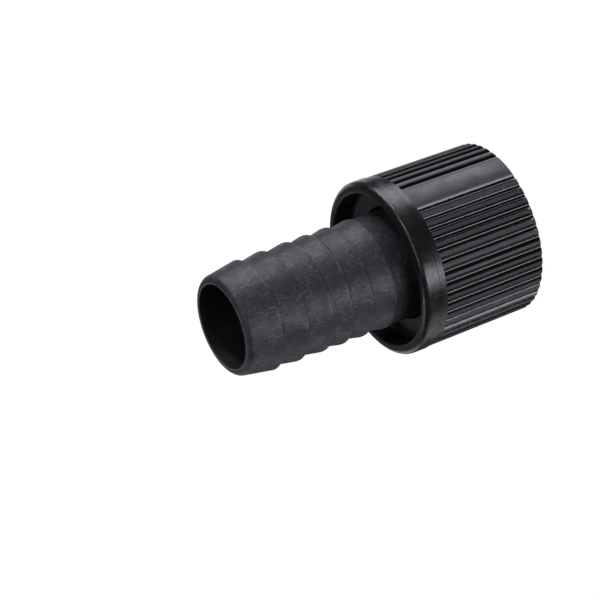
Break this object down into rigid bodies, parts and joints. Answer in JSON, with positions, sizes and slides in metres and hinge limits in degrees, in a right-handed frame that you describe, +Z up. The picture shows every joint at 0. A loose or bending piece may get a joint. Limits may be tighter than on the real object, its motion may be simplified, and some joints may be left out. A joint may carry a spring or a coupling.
{
  "type": "suction hose connector",
  "caption": "Barbed hose tail with a loose ribbed union nut and a flat seal, which joins a 25 mm suction hose to a 1 inch male pipe thread",
  "frame": {"origin": "the middle of the nut's open end face, which stands on the floor", "axes": "+Z runs up the connector's axis towards the tip of the hose tail; -Y faces the middle of one flat land of the nut's grip, and the other land faces +Y"},
  "size_m": [0.0428, 0.0428, 0.0758],
  "materials": {
    "tail_plastic": "charcoal glass-filled moulded plastic, matte with a fine grain",
    "nut_plastic": "black moulded plastic with a soft sheen",
    "seal_rubber": "matte black rubber"
  },
  "bodies": {
    "tail": {"hose_tail": "tail_plastic", "flat_seal": "seal_rubber"},
    "nut": {"union_nut": "nut_plastic"}
  },
  "joints": [
    {"name": "nut_spin", "type": "hinge", "parent": "tail", "child": "nut", "pos_m": [0, 0, 0.0235], "axis": [0, 0, 1], "continuous": true}
  ]
}
